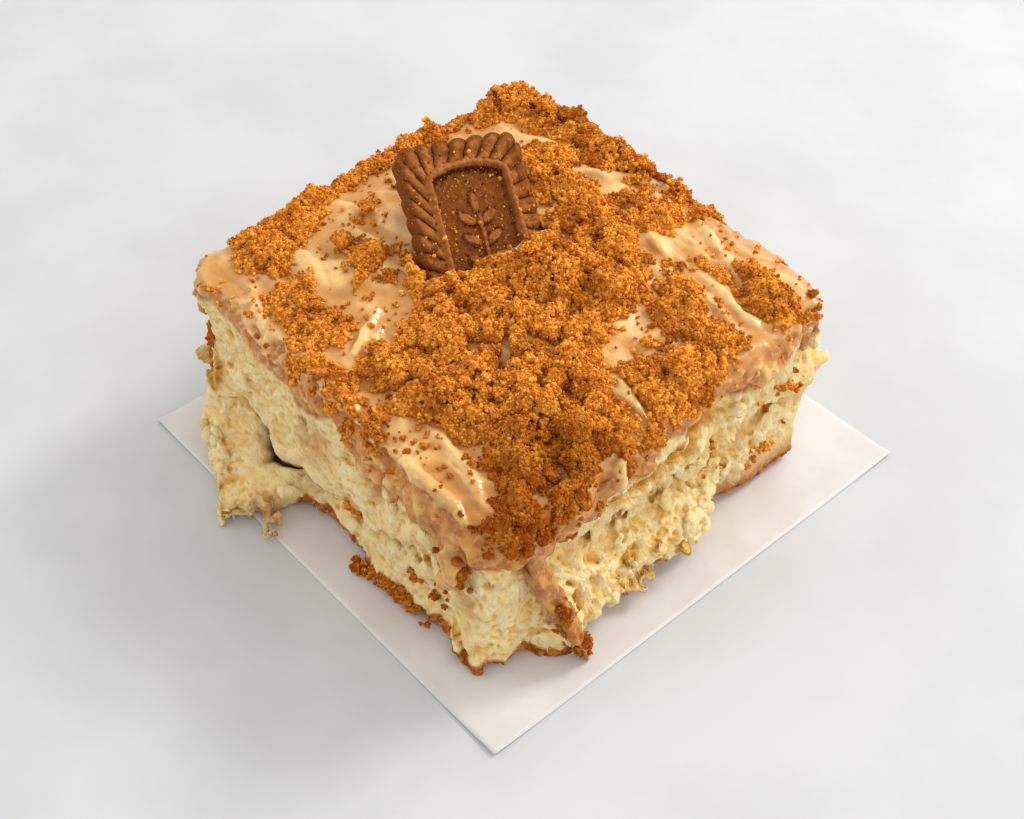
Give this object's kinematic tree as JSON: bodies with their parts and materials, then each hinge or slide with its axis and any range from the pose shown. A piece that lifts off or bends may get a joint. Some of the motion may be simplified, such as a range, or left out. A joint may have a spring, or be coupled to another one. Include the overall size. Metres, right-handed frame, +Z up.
{
  "type": "iced cinnamon roll",
  "caption": "Square pull-apart cinnamon roll with torn sides, poured glaze, crushed biscuit and a whole biscuit standing in it, on parchment.",
  "frame": {"origin": "centre of the whole object's footprint, at the level of the surface it lies on", "axes": "+Z up, +X and +Y along the edges of the parchment; the near corner of the roll, where the glaze droops lowest, is towards +X and -Y"},
  "size_m": [0.127, 0.134, 0.0697],
  "materials": {
    "parchment": "thin white baking paper, faintly waxy and slightly see-through",
    "bread": "soft pale yellow torn crumb, browned where it met the tin",
    "glaze": "wet, glossy, slightly see-through tan glaze",
    "biscuit": "dry brown biscuit with a fine sugary grain",
    "crumbs": "dry orange-brown crushed biscuit"
  },
  "bodies": {
    "root": {"parchment": "parchment", "bread_roll": "bread", "glaze_coat": "glaze", "biscuit": "biscuit", "crumb_drift_middle": "crumbs", "crumb_drift_near_corner": "crumbs", "crumb_drift_by_biscuit": "crumbs", "crumb_drift_right_edge": "crumbs", "crumb_drift_right_corner": "crumbs", "crumb_drift_front_edge": "crumbs", "crumb_drift_left_patch": "crumbs", "crumb_drift_left_edge": "crumbs", "crumb_drift_back_corner": "crumbs", "crumb_drift_rear_edge": "crumbs", "crumb_drift_behind_biscuit": "crumbs", "crumb_lump_1": "crumbs", "crumb_lump_2": "crumbs", "crumb_lump_3": "crumbs", "crumb_lump_4": "crumbs", "crumb_lump_5": "crumbs", "crumb_lump_6": "crumbs", "crumb_lump_7": "crumbs", "crumb_lump_8": "crumbs", "crumb_lump_9": "crumbs", "crumb_lump_10": "crumbs"}
  },
  "joints": []
}
